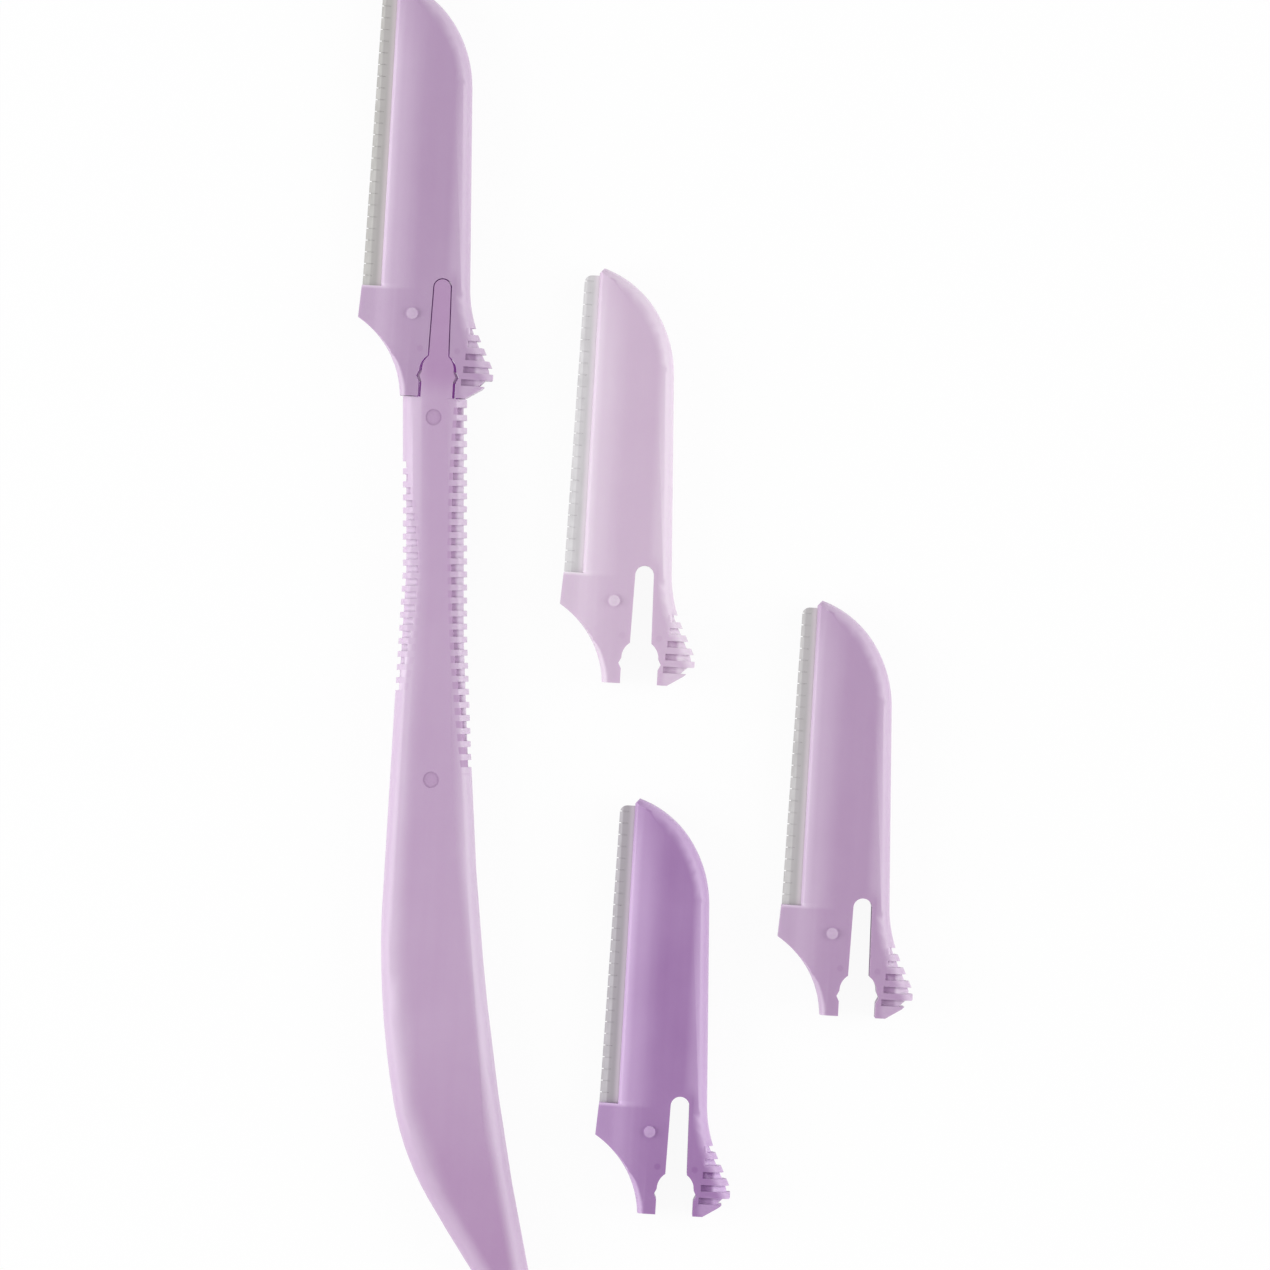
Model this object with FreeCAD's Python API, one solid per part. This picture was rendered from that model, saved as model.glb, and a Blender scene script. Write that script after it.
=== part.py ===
"""Eyebrow razor: a curved moulded handle with one clip-on head fitted, and three spare heads beside it.

Every head is a moulded holder, with a steel blade anchored in its edge and a slit steel guard folded
over the blade. The frame: +Y runs along the head from its seat on the handle to its tip, +Z is up, and
the set lies on Z = 0. The origin is on the underside, in the middle of the seat.
"""

import FreeCAD
import Part
import math
import os

from FreeCAD import Vector

# Sizes are in millimetres and angles in degrees. Heights and drops are measured from the seat, rises
# from the end of the tail and falls from the tip of the head.

# Handle: the front edge is on the blade's side and the back edge on the thumb tab's side
handle_thickness = 4.8
handle_edge_round = 2.3
round_steps = 3
small_round_steps = 2
groove_round_steps = 1
handle_length = 101.6
head_cant = 3.3
front_neck = 3.8
front_neck_drop = 18.7
front_flare = 3.844
front_flare_drop = 20.1
front_flank_run = 35.2
front_belly = 4.85
front_belly_rise = 22.4
front_haunch = 1.0
front_haunch_rise = 11.6
back_neck = 3.42
back_neck_drop = 26.3
back_flare = 3.444
back_flare_drop = 27.7
back_flank_run = 15.3
back_belly = 5.2
back_belly_drop = 63.0
tail_radius = 2.75
tail_offset = 7.65
tail_core = 0.2
least_flat = 0.05

# Handle: rows of grip grooves round the edges of the neck, and the marks of two ejector pins
grip_pitch = 1.467
grip_groove_width = 0.8
grip_groove_depth = 0.38
back_grip_count = 28
back_grip_drop = 1.5
back_grip_reach = 1.75
back_grip_middle = 17.7
back_grip_radius = 190.0
front_grip_count = 18
front_grip_drop = 7.5
front_grip_reach = 1.8
front_grip_middle = 20.0
front_grip_radius = 50.0
mark_depth = 0.12
mark_radius = 0.9
upper_mark_drop = 2.2
upper_mark_offset = -0.3
lower_mark_drop = 42.9
lower_mark_offset = -0.6

# Tang on the handle, and the play that the slot of a head leaves round it
tang_length = 13.3
tang_tip_half = 0.93
tang_root_half = 1.09
tang_root_height = 4.67
tang_foot_half = 1.78
tang_foot_height = 2.95
tang_shoulder_bulge = 0.22
tongue_reach = 0.4
tongue_thickness = 1.2
flange_reach = 0.22
detent_height = 2.35
detent_rise = 0.25
detent_half_length = 0.55
tang_play = 0.12
leg_play = 0.3
seat_play = 0.08
notch_depth = 0.3
notch_half_length = 0.62

# Head: plan of the holder
head_thickness = 4.8
head_length = 46.55
tip_offset = 6.45
wall_offset = 6.95
wall_fall = 0.6
nose_offset = 0.47
nose_fall = 4.35
back_top = 2.0
back_top_fall = 11.55
back_foot = 3.05
back_foot_height = 12.5
tab_waist = 4.48
tab_waist_height = 6.9
tab_side_height = 3.4
tab_height = 2.35
tab_heel = 5.0
tab_heel_height = 1.22
leg_toe = 3.2
front_leg = 4.12
chin_reach = 9.32
chin_foot_height = 8.6
chin_arc_offset = 6.0
chin_arc_height = 5.45
chin_top = 9.1
chin_height = 12.2

# Head: rounding, and the slope that thins the holder towards the blade
back_round = 1.9
chin_round = 0.8
wall_round = 0.6
slope_start = 2.8
slope_drop = 0.65
slope_end = 8.85

# Head: grooves that rib the thumb tab, and the pip
rib_pitch = 1.45
rib_groove_count = 5
rib_groove_width = 0.74
rib_groove_depth = 0.45
rib_first_height = 7.67
rib_groove_offset = 3.35
rib_groove_lead = 0.17
pip_radius = 0.65
pip_sides = 12
pip_rise = 0.35
pip_offset = 3.25
pip_height = 9.3

# Blade: a ground strip, held by bars of the holder through windows in its hidden part
blade_thickness = 0.3
blade_bevel = 1.0
edge_flat = 0.02
edge_offset_low = 8.85
edge_offset_high = 8.4
blade_fall = 0.85
blade_corner = 0.6
blade_back = 4.5
blade_end_play = 0.05
hidden_end_step = 1.4
window_count = 2
window_width = 1.0
window_length = 3.0
window_offset = 5.3
window_low_margin = 5.3
window_high_margin = 8.2
window_play = 0.03

# Guard: foil folded over the edge of the blade and slit into teeth
foil_thickness = 0.09
guard_stand_off = 0.22
guard_nose_half = 0.13
guard_slope = 1.0
guard_flange = 2.55
guard_blade_play = 0.04
guard_pocket_play = 0.03
tooth_pitch = 1.32
tooth_slit = 0.12
tooth_slit_length = 1.02
first_slit_height = 1.1

# Where the seats of the spare heads lie, from the seat of the fitted one
spare1_offset = 24.5
spare1_drop = 30.9
spare2_offset = 51.1
spare2_drop = 66.8
spare3_offset = 31.9
spare3_drop = 90.2

OVER = 1.0  # how far a cutting solid runs past what it cuts
UP = Vector(0, 0, 1)
mid_height = max(handle_thickness, head_thickness) / 2
blade_height = head_length - blade_fall


def line(start, end):
    """Straight edge between two points."""
    return Part.LineSegment(start, end).toShape()


def arc(start, through, end):
    """Circular edge through three points."""
    return Part.Arc(start, through, end).toShape()


def left_of(heading):
    """Unit vector a quarter turn to the left of a heading in plan."""
    return Vector(-heading.y, heading.x, 0).normalize()


def tangent_arc(start, heading, end):
    """Arc that leaves the start along the heading and ends at the end, and the heading there."""
    chord = end - start
    left = left_of(heading)
    radius = chord.dot(chord) / (2 * chord.dot(left))
    centre = start + left * radius
    outward = ((start - centre) + (end - centre)).normalize()
    along = Vector(chord).normalize()
    return arc(start, centre + outward * abs(radius), end), along * (2 * heading.dot(along)) - heading


def run_in(start, heading, centre, radius, side):
    """Arc that leaves the start along the heading and runs into a circle, and the point where it joins.

    Side is +1 where the circle turns the same way as a left-hand arc, and -1 where it turns the other.
    """
    left = left_of(heading)
    gap = centre - start
    bend = (gap.dot(gap) - radius ** 2) / (2 * (gap.dot(left) - side * radius))
    hub = start + left * bend
    join = centre + (centre - hub).normalize() * math.copysign(radius, side * bend)
    return tangent_arc(start, heading, join)[0], join


def stations(edge):
    """Start, middle and end of an edge, and its unit directions there."""
    spots = [edge.FirstParameter, (edge.FirstParameter + edge.LastParameter) / 2, edge.LastParameter]
    return [edge.valueAt(spot) for spot in spots], [edge.tangentAt(spot) for spot in spots]


def moved_left(chain, distance):
    """The smooth chain of lines and arcs moved to its left by a distance, still joined end to end."""
    moved = []
    for edge in chain:
        points, headings = stations(edge)
        start, middle, end = (spot + left_of(way) * distance for spot, way in zip(points, headings))
        start = last if moved else start
        moved.append(line(start, end) if isinstance(edge.Curve, Part.Line) else arc(start, middle, end))
        last = end
    return moved


def backwards(edge):
    """The line or arc run from its end to its start."""
    start, middle, end = stations(edge)[0]
    return line(end, start) if isinstance(edge.Curve, Part.Line) else arc(end, middle, start)


def carried_on(chain, length):
    """The chain of edges with a straight run-out at each end."""
    points, headings = stations(chain[0])
    before = line(points[0] - headings[0] * length, points[0])
    points, headings = stations(chain[-1])
    return [before] + chain + [line(points[2], points[2] + headings[2] * length)]


def rounded_slab(chain, beyond, thickness, rounding, steps, inset=0.0):
    """Slab to the left of a smooth chain of edges, with its rims along the chain rounded in steps.

    Away from the chain it is closed by straight sides, moved off by the vector beyond. The inset draws
    in its whole skin.
    """
    radius = min(rounding, thickness / 2 - least_flat) - inset
    core = thickness / 2 - inset - radius
    turns = [math.radians(90.0 * step / steps) for step in range(steps + 1)]
    upper = [(inset + radius * (1 - math.cos(turn)), core + radius * math.sin(turn)) for turn in turns]
    lower = [(draw_in, -height) for draw_in, height in reversed(upper)]
    wires = []
    for draw_in, height in lower + upper:
        edges = moved_left(chain, draw_in)
        last, first = stations(edges[-1])[0][2], stations(edges[0])[0][0]
        corners = [last, last + beyond, first + beyond, first] if beyond.Length else [last, first]
        wire = Part.Wire(edges + [line(a, b) for a, b in zip(corners, corners[1:])])
        wire.translate(UP * height)
        wires.append(wire)
    return Part.makeLoft(wires, True, True)


def plan_face(edges):
    """Flat face that the edges enclose."""
    return Part.Face(Part.Wire(Part.__sortEdges__(edges)))


def prism(face, low, high):
    """Solid between two heights over a face in plan."""
    base = face.copy()
    base.translate(UP * low)
    return base.extrude(UP * (high - low))


def polygon(corners):
    """Flat face with straight sides between the corners."""
    return Part.Face(Part.makePolygon(corners + corners[:1]))


def block(x_range, y_range, z_range):
    """Box between the given limits, in any order."""
    low = Vector(min(x_range), min(y_range), min(z_range))
    high = Vector(max(x_range), max(y_range), max(z_range))
    size = high - low
    return Part.makeBox(size.x, size.y, size.z, low)


def rim_edges(solid, height, wanted):
    """Edges that lie flat at plus or minus the height and whose middle passes the test."""
    found = []
    for edge in solid.Edges:
        box = edge.BoundBox
        level = box.ZLength < 1e-6 and abs(abs(box.ZMax) - height) < 1e-6
        if level and wanted(edge.valueAt((edge.FirstParameter + edge.LastParameter) / 2)):
            found.append(edge)
    return found


def flipped(shape):
    """The shape mirrored to the other face."""
    return shape.mirror(Vector(0, 0, 0), UP)


def handle_outline():
    """Outline of the handle from the front of its neck round the tail and up the back, neck upright."""
    down = Vector(0, -1, 0)
    centre = Vector(tail_offset, tail_radius - handle_length, 0)
    front_top = Vector(-front_neck, 2 * OVER, 0)
    back_top_end = Vector(back_neck, 2 * OVER, 0)

    front_neck_end = Vector(-front_neck, -front_neck_drop, 0)
    flare_end = Vector(-front_flare, -front_flare_drop, 0)
    front_flare_arc, heading = tangent_arc(front_neck_end, down, flare_end)
    flank_end = flare_end + heading * front_flank_run
    belly_end = Vector(-front_belly, front_belly_rise - handle_length, 0)
    haunch_end = Vector(-front_haunch, front_haunch_rise - handle_length, 0)
    belly, heading = tangent_arc(flank_end, heading, belly_end)
    haunch, heading = tangent_arc(belly_end, heading, haunch_end)
    front_run, front_join = run_in(haunch_end, heading, centre, tail_radius, 1)

    back_neck_end = Vector(back_neck, -back_neck_drop, 0)
    back_flare_end = Vector(back_flare, -back_flare_drop, 0)
    back_flare_arc, heading = tangent_arc(back_neck_end, down, back_flare_end)
    back_flank_end = back_flare_end + heading * back_flank_run
    back_belly_end = Vector(back_belly, -back_belly_drop, 0)
    back_belly_arc, heading = tangent_arc(back_flank_end, heading, back_belly_end)
    back_run, back_join = run_in(back_belly_end, heading, centre, tail_radius, -1)

    tail_middle = centre - left_of(back_join - front_join) * tail_radius
    return [
        line(front_top, front_neck_end), front_flare_arc, line(flare_end, flank_end),
        belly, haunch, front_run, arc(front_join, tail_middle, back_join),
        backwards(back_run), backwards(back_belly_arc), line(back_flank_end, back_flare_end),
        backwards(back_flare_arc), line(back_neck_end, back_top_end),
    ]


def handle_bar(steps, inset=0.0):
    """Round-edged bar over the outline of the handle, with its skin drawn in by the inset."""
    rounding = min(handle_edge_round, tail_radius - tail_core)
    return rounded_slab(handle_outline(), Vector(0, 0, 0), handle_thickness, rounding, steps, inset)


def grip_grooves(plan, side, count, first_drop, reach, middle, radius):
    """Cutters for one row of grip grooves, whose inner ends follow an arc; side is +1 at the back."""
    cutters = []
    half = grip_groove_width / 2
    for index in range(count):
        drop = first_drop + index * grip_pitch
        across = line(Vector(0, -drop, 0), Vector(side * handle_length, -drop, 0)).common(plan)
        rim = across.BoundBox.XMax if side > 0 else across.BoundBox.XMin
        depth = max(reach - (drop - middle) ** 2 / (2 * radius), grip_groove_depth + least_flat)
        cutters.append(block((rim - side * depth, rim + side * OVER), (-drop - half, -drop + half),
                             (-handle_thickness, handle_thickness)))
    return cutters


def tang_face(start, play, foot_play, with_detents):
    """Plan of the tang from a height, grown by one play at the stem and another at the foot."""
    root, foot = tang_root_half + play, tang_foot_half + foot_play
    tip, crown = tang_tip_half + play, tang_length + play
    rise = crown - tip - tang_root_height
    lean = math.acos(tip / math.hypot(root, rise)) - math.atan2(rise, root)
    side = [Vector(foot, start, 0)]
    if with_detents:
        side.append(Vector(foot, detent_height - detent_half_length, 0))
        side.append(Vector(foot + detent_rise, detent_height, 0))
        side.append(Vector(foot, detent_height + detent_half_length, 0))
    shoulder_low = Vector(foot, tang_foot_height + play, 0)
    shoulder_high = Vector(root, tang_root_height, 0)
    side.append(shoulder_low)
    outward = left_of(shoulder_low - shoulder_high)
    bulge = (shoulder_low + shoulder_high) / 2 + outward * tang_shoulder_bulge
    stem_top = Vector(tip * math.cos(lean), crown - tip + tip * math.sin(lean), 0)

    half_edges = [line(a, b) for a, b in zip(side, side[1:])]
    half_edges += [arc(shoulder_low, bulge, shoulder_high), line(shoulder_high, stem_top)]
    mirrored = [edge.mirror(Vector(0, 0, 0), Vector(1, 0, 0)) for edge in half_edges]
    across = Vector(-stem_top.x, stem_top.y, 0)
    return plan_face(half_edges + mirrored + [
        arc(stem_top, Vector(0, crown, 0), across), line(side[0], Vector(-foot, start, 0)),
    ])


def tongue_face(play):
    """Plan across the tongues that run up both sides of the stem of the tang, grown by the play."""
    tip, root = (half + tongue_reach + play for half in (tang_tip_half, tang_root_half))
    top, foot = tang_length - tang_tip_half + play, tang_foot_height - play
    corners = [(-tip, top), (-root, foot), (root, foot), (tip, top)]
    return polygon([Vector(x, y, 0) for x, y in corners])


def make_handle():
    """The handle, one moulding: bar with grips and pin marks, and tang with tongues and detents."""
    half = handle_thickness / 2
    outline = handle_outline()
    plan = plan_face(outline + [line(stations(outline[-1])[0][2], stations(outline[0])[0][0])])
    grooves = grip_grooves(plan, 1, back_grip_count, back_grip_drop, back_grip_reach,
                           back_grip_middle, back_grip_radius)
    grooves += grip_grooves(plan, -1, front_grip_count, front_grip_drop, front_grip_reach,
                            front_grip_middle, front_grip_radius)
    floor = handle_bar(groove_round_steps, grip_groove_depth)
    bar = handle_bar(round_steps).cut(Part.makeCompound(grooves).cut(floor))

    marks = [(upper_mark_offset, upper_mark_drop), (lower_mark_offset, lower_mark_drop)]
    bar = bar.cut([Part.makeCylinder(mark_radius, OVER, Vector(offset, -drop, half - mark_depth))
                   for offset, drop in marks])
    bar.rotate(Vector(0, 0, 0), UP, head_cant)

    reach = 2 * (front_neck + back_neck)
    bar = bar.cut(block((-reach, reach), (0, reach), (-handle_thickness, handle_thickness)))
    tang = prism(tang_face(0.0, 0.0, 0.0, True), -half, half)
    tongues = prism(tongue_face(0.0), -tongue_thickness / 2, tongue_thickness / 2)
    flange = prism(tang_face(0.0, 0.0, flange_reach, False), -tongue_thickness / 2, tongue_thickness / 2)
    return bar.fuse([tang, tongues, flange])


def holder_back():
    """Smooth back of the holder in plan, from the thumb tab up to the tip."""
    foot = Vector(back_foot, back_foot_height, 0)
    top = Vector(back_top, head_length - back_top_fall, 0)
    nose = Vector(-nose_offset, head_length - nose_fall, 0)
    up_back = (top - foot).normalize()
    waist = Vector(tab_waist, tab_waist_height, 0)
    flare, heading = tangent_arc(foot, up_back * -1, waist)
    lower_nose, nose_heading = tangent_arc(top, up_back, nose)
    upper_nose, _ = tangent_arc(nose, nose_heading, Vector(-tip_offset, head_length, 0))
    tab = waist + heading * ((tab_side_height - waist.y) / heading.y)
    return [line(tab, waist), backwards(flare), line(foot, top), lower_nose, upper_nose]


def chin_arc():
    """Hollow of the holder in plan, from the chin down to the leg in front of the slot."""
    return arc(Vector(-chin_reach, chin_foot_height, 0), Vector(-chin_arc_offset, chin_arc_height, 0),
               Vector(-front_leg, seat_play, 0))


def tab_sides():
    """Flat outer side and slanted lower side of the thumb tab in plan, from its back to its heel."""
    top = stations(holder_back()[0])[0][0]
    corner = Vector(top.x, tab_height, 0)
    return [line(top, corner), line(corner, Vector(tab_heel, tab_heel_height, 0))]


def holder_plan():
    """Plan of a holder, without its slot."""
    back, chin, tab = holder_back(), chin_arc(), tab_sides()
    tip = stations(back[-1])[0][2]
    chin_foot, leg = stations(chin)[0][0], stations(chin)[0][2]
    wall_top, wall_foot = (Vector(-wall_offset, y, 0) for y in (head_length - wall_fall, chin_height))
    corners = [tip, wall_top, wall_foot, Vector(-chin_top, chin_height, 0), chin_foot]
    feet = [leg, Vector(leg_toe, seat_play, 0), stations(tab[-1])[0][2]]
    straight = [line(a, b) for points in (corners, feet) for a, b in zip(points, points[1:])]
    return plan_face(back + straight + tab + [chin])


def holder_skin(steps, inset=0.0):
    """Slab with the rounded back of the holder, that runs past its other sides; inset draws it in."""
    back = carried_on(holder_back(), chin_reach)
    return rounded_slab(back, Vector(-3 * chin_reach, 0, 0), head_thickness, back_round, steps, inset)


def holder_blank():
    """Holder as a solid slab with its back, nose, tab and chin rounded."""
    half = head_thickness / 2
    chin = carried_on([chin_arc()], 2 * head_length)
    beyond = Vector(5 * head_length, 0, 0)
    chin_skin = rounded_slab(chin, beyond, head_thickness, chin_round, small_round_steps)
    return prism(holder_plan(), -half, half).common(holder_skin(round_steps)).common(chin_skin)


def rib_floor():
    """Space under the floors of the grooves in the thumb tab, drawn in from its back and its sides."""
    floor = holder_skin(groove_round_steps, rib_groove_depth)
    for side in tab_sides():
        points, headings = stations(side)
        run, inward = headings[0] * head_length, left_of(headings[0]) * -1
        start = points[0] - run + inward * rib_groove_depth
        inside = [start, start + run * 2, start + run * 2 + inward * head_length,
                  start + inward * head_length]
        floor = floor.common(prism(polygon(inside), -head_thickness, head_thickness))
    return floor


def slope_cutter():
    """Space over the slope that thins the upper face of the holder, down to a level chin."""
    half = head_thickness / 2
    run, rest = wall_offset - slope_start, slope_end - wall_offset
    radius = (run ** 2 + slope_drop ** 2) / (2 * slope_drop)
    lean = math.asin(run / radius)
    rest_radius = rest / math.sin(lean)
    chin_level = half - slope_drop - rest_radius * (1 - math.cos(lean))

    def crest(turn):
        return Vector(-slope_start - radius * math.sin(turn), 0, half - radius * (1 - math.cos(turn)))

    def hollow(turn):
        return Vector(-slope_end + rest_radius * math.sin(turn), 0,
                      chin_level + rest_radius * (1 - math.cos(turn)))

    far, top = -chin_reach - OVER, half + OVER
    over = [Vector(far, 0, chin_level), Vector(far, 0, top), Vector(-slope_start, 0, top)]
    corners = [hollow(0.0)] + over + [crest(0.0)]
    edges = [line(a, b) for a, b in zip(corners, corners[1:])]
    edges.append(arc(crest(0.0), crest(lean / 2), crest(lean)))
    edges.append(arc(crest(lean), hollow(lean / 2), hollow(0.0)))
    profile = plan_face(edges)
    profile.translate(Vector(0, -OVER, 0))
    return profile.extrude(Vector(0, head_length + 2 * OVER, 0))


def slot_cutter():
    """Space for the tang in a holder: slot, detent notches in the legs and grooves for the tongues."""
    slot = prism(tang_face(-OVER, tang_play, leg_play, False), -head_thickness, head_thickness)
    wall = tang_foot_half + leg_play
    low, high = detent_height - notch_half_length, detent_height + notch_half_length
    notch = polygon([
        Vector(-wall, low, 0), Vector(wall, low, 0), Vector(wall + notch_depth, detent_height, 0),
        Vector(wall, high, 0), Vector(-wall, high, 0), Vector(-wall - notch_depth, detent_height, 0),
    ])
    groove_half = tongue_thickness / 2 + tang_play
    return slot.fuse([prism(notch, -head_thickness, head_thickness),
                      prism(tongue_face(tang_play), -groove_half, groove_half)])


def edge_ends():
    """Ends of the cutting edge in plan, from the chin to the top."""
    low = Vector(-edge_offset_low, chin_height + blade_end_play, 0)
    return low, Vector(-edge_offset_high, blade_height, 0)


def edge_axes():
    """Unit vectors along the cutting edge and from it towards the back of the blade."""
    low, high = edge_ends()
    along = (high - low).normalize()
    return along, left_of(along) * -1


def round_corner(corner, before, after, size):
    """Arc that rounds the corner, with its ends at the size along the two directions from it."""
    start, end = corner + before * size, corner + after * size
    middle = corner + (before + after) * (size * (1 - math.sqrt(0.5)))
    return arc(start, middle, end), start, end


def hidden_end(play):
    """Ends of the slanted top of the blade's hidden part in plan, from the wall to the back."""
    top = blade_height - hidden_end_step + play
    wall, back = -wall_offset + play, -blade_back + play
    return Vector(wall, top, 0), Vector(back, top + wall - back, 0)


def blade_face(play):
    """Plan of the blade, the part that shows and the shorter part in the holder, grown by the play."""
    low, high = edge_ends()
    along, _ = edge_axes()
    rounded, start, end = round_corner(high, along * -1, Vector(1, 0, 0), blade_corner)
    wall, back = hidden_end(play)
    foot = low.y - play
    corners = [end, Vector(wall.x, blade_height, 0), wall, back, Vector(back.x, foot, 0),
               Vector(low.x, foot, 0), start]
    return plan_face([rounded] + [line(a, b) for a, b in zip(corners, corners[1:])])


def windows(play, half):
    """Blocks that fill the windows of the blade, grown by the play."""
    width, length = window_width / 2 + play, window_length / 2 + play
    lowest, highest = chin_height + window_low_margin, blade_height - window_high_margin
    pitch = (highest - lowest) / max(window_count - 1, 1)
    heights = [lowest + index * pitch for index in range(window_count)]
    return [block((-window_offset - width, -window_offset + width), (height - length, height + length),
                  (-half, half)) for height in heights]


def pip():
    """Low many-sided stud on the upper face, sunk a little where the slope begins."""
    foot = head_thickness / 2 - slope_drop / 8
    turns = [2 * math.pi * index / pip_sides for index in range(pip_sides)]
    corners = [Vector(pip_radius * math.cos(turn) - pip_offset, pip_radius * math.sin(turn) + pip_height, 0)
               for turn in turns]
    return prism(polygon(corners), foot, foot + pip_rise)


def make_holder():
    """Moulded holder: sloped body, slot, blade pocket with anchor bars, ribbed thumb tab and pip."""
    half = head_thickness / 2
    slope = slope_cutter()
    body = holder_blank().cut([slope, flipped(slope)])
    wall_level = half - slope_drop

    def on_wall(middle):
        return abs(middle.x + wall_offset) < 1e-6

    body = body.makeFillet(wall_round, rim_edges(body, wall_level, on_wall))

    ribs = []
    for index in range(rib_groove_count):
        height = rib_first_height - index * rib_pitch
        ribs.append(block((rib_groove_offset - index * rib_groove_lead, chin_reach),
                          (height - rib_groove_width / 2, height + rib_groove_width / 2),
                          (-head_thickness, head_thickness)))
    grooves = Part.makeCompound(ribs).cut(rib_floor())

    pocket_half = blade_thickness / 2 + guard_blade_play + foil_thickness + guard_pocket_play
    pocket = prism(blade_face(blade_end_play), -pocket_half, pocket_half).cut(windows(0.0, pocket_half))
    body = body.cut([slot_cutter(), grooves, pocket])
    return body.fuse(pip())


def make_blade():
    """Steel strip, ground to an edge on both faces, with windows in the part the holder hides."""
    half = blade_thickness / 2
    low, high = edge_ends()
    along, across = edge_axes()
    start = low - along * OVER
    grind = polygon([
        start - across * OVER + UP * edge_flat / 2, start + UP * edge_flat / 2,
        start + across * blade_bevel + UP * half, start + across * blade_bevel + UP * (half + OVER),
        start - across * OVER + UP * (half + OVER),
    ]).extrude(along * ((high - low).Length + 2 * OVER))
    return prism(blade_face(0.0), -half, half).cut([grind, flipped(grind)] + windows(window_play, half))


def make_guard():
    """Comb guard: foil folded round the edge, tucked into the pocket and slit into teeth."""
    low, high = edge_ends()
    along, across = edge_axes()
    length = (high - low).Length
    skin = blade_thickness / 2 + guard_blade_play + foil_thickness
    outer = [(guard_flange, skin), (guard_slope, skin), (-guard_stand_off, guard_nose_half)]
    inner = [(reach, height - foil_thickness) for reach, height in outer]
    inner[-1] = (-guard_stand_off + foil_thickness, 0.0)

    lower_outer, lower_inner = ([(reach, -height) for reach, height in side] for side in (outer, inner))
    section = outer + lower_outer[::-1] + lower_inner + inner[-2::-1]
    fold = polygon([low + across * reach + UP * height for reach, height in section])
    foil = fold.extrude(along * length)

    root = across * (tooth_slit_length - guard_stand_off)
    mouth = across * -(guard_stand_off + OVER)
    slits = []
    for index in range(int((length - first_slit_height) / tooth_pitch) + 1):
        centre = low + along * (first_slit_height + index * tooth_pitch)
        half_slit = along * (tooth_slit / 2)
        slits.append(prism(polygon([centre + mouth - half_slit, centre + mouth + half_slit,
                                    centre + root + half_slit, centre + root - half_slit]), -OVER, OVER))

    corner = high - across * guard_stand_off
    rounded, start, end = round_corner(corner, along * -1, across, blade_corner + guard_stand_off)
    outside = [end, end + along * OVER, corner + (along - across) * OVER, start - across * OVER, start]
    trim = prism(plan_face([rounded] + [line(a, b) for a, b in zip(outside, outside[1:])]), -OVER, OVER)
    wall, back = hidden_end(0.0)
    above = [wall, back, Vector(back.x, head_length, 0), Vector(wall.x, head_length, 0)]
    return foil.cut(slits + [trim, prism(polygon(above), -OVER, OVER)])


def write(name, shape, place):
    """Sets a finished piece at its place and writes it as its own node."""
    piece = shape.removeSplitter()
    piece.translate(place + UP * mid_height)
    assert piece.isValid() and len(piece.Solids) == 1, name
    print(f"{name}: {piece.Volume:.2f} mm3, {len(piece.Faces)} faces")
    piece.Solids[0].exportStep(os.path.join("parts", f"{name}.step"))


def main():
    os.makedirs("parts", exist_ok=True)
    write("handle", make_handle(), Vector(0, 0, 0))
    pieces = {"holder": make_holder(), "blade": make_blade(), "guard": make_guard()}
    places = {
        "fitted": Vector(0, 0, 0),
        "spare1": Vector(spare1_offset, -spare1_drop, 0),
        "spare2": Vector(spare2_offset, -spare2_drop, 0),
        "spare3": Vector(spare3_offset, -spare3_drop, 0),
    }
    for head, place in places.items():
        for piece, shape in pieces.items():
            write(f"{head}_{piece}", shape.copy(), place)


main()
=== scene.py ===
"""Looks of an eyebrow razor and its spare heads: finishes, edge shading, studio and camera.

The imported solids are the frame. Everything is in metres, in their frame: +Y runs along the heads, +Z is up
and the set lies on Z = 0.
"""

import logging
import math
from dataclasses import dataclass
from enum import Enum
from typing import Union

import bpy
from mathutils import Matrix, Vector


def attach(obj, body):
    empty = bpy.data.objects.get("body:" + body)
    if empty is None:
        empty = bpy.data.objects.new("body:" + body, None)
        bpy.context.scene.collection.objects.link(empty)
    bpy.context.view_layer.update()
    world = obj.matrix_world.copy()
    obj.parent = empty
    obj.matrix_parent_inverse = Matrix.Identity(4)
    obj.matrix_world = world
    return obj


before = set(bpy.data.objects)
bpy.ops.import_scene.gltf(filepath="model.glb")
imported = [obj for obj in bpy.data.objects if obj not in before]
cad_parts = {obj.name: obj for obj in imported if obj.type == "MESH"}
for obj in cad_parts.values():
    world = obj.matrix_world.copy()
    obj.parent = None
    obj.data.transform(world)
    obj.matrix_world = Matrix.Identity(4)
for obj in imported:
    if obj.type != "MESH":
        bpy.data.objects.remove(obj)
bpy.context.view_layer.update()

log = logging.getLogger("eyebrow_razor")

Triple = tuple[float, float, float]
Colour = Triple
Point = tuple[float, float]

MM = 0.001
# A place along Y that no piece reaches.
FAR = 1.0
# The turn of the handle, and of the picture's upright, from the heads' own line.
CANT = math.radians(3.3)
ORIGIN = Vector((0.0, 0.0, 0.0))
IN_PLAN = (1.0, 1.0, 0.0)
BLACK = (0.0, 0.0, 0.0)
WHITE = (1.0, 1.0, 1.0, 1.0)


class Coordinate(Enum):
    """Which texture coordinate a finish is laid by."""

    PLACE = "Object"
    NORMAL = "Normal"


class Grind(Enum):
    """Which way the grinding marks of a steel strip run, as the stretch of its noise."""

    ALONG = (1.0, 0.03, 1.0)
    ACROSS = (0.03, 1.0, 1.0)


class Side(Enum):
    """Which edge of the razor, as the sign of its X: the cutting edge's side or the back."""

    FRONT = -1.0
    BACK = 1.0


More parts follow.
